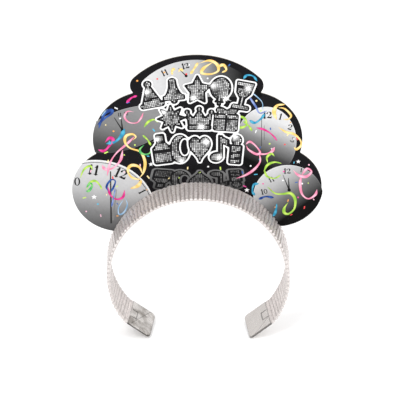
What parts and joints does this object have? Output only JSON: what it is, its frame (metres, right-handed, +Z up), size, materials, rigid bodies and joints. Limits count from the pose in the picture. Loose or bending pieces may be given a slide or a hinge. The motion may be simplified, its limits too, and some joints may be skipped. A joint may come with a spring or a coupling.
{
  "type": "party tiara headband",
  "caption": "Scalloped printed card standing on a springy fluted headband open at the bottom, with folded sheet-metal clips on both ends.",
  "frame": {"origin": "centre of the head opening: the centre of the hoop's circle, at the middle of the band's width", "axes": "+Z up to the top of the card, -Y towards the printed front, +X to the wearer's left as seen from the front; the hoop's axis is Y"},
  "size_m": [0.1987, 0.031, 0.2476],
  "materials": {
    "greyboard": "matte greyboard, paper fibre",
    "printed_film": "glossy printed foil film, black ground",
    "hot_melt": "satin hot-melt glue",
    "spring_strip": "satin silver-grey plastic strip",
    "sleeve_foil": "metallised silver film, fluted and slightly crumpled",
    "clip_steel": "bright tinned sheet steel"
  },
  "bodies": {
    "crown": {"card_board": "greyboard", "printed_foil_face": "printed_film", "glue_beads": "hot_melt", "spring_strip_crown": "spring_strip", "foil_sleeve_crown": "sleeve_foil"},
    "right_leg": {"spring_strip_right": "spring_strip", "foil_sleeve_right": "sleeve_foil", "end_clip_right": "clip_steel"},
    "left_leg": {"spring_strip_left": "spring_strip", "foil_sleeve_left": "sleeve_foil", "end_clip_left": "clip_steel"}
  },
  "joints": [
    {"name": "right_leg_flex", "type": "hinge", "parent": "crown", "child": "right_leg", "pos_m": [0.07007, 0, 0.01236], "axis": [0, -1, 0], "range_deg": [-8, 20], "stiffness_Nm_per_rad": 0.4},
    {"name": "left_leg_flex", "type": "hinge", "parent": "crown", "child": "left_leg", "pos_m": [-0.07007, 0, 0.01236], "axis": [0, 1, 0], "range_deg": [-8, 20], "stiffness_Nm_per_rad": 0.4}
  ]
}
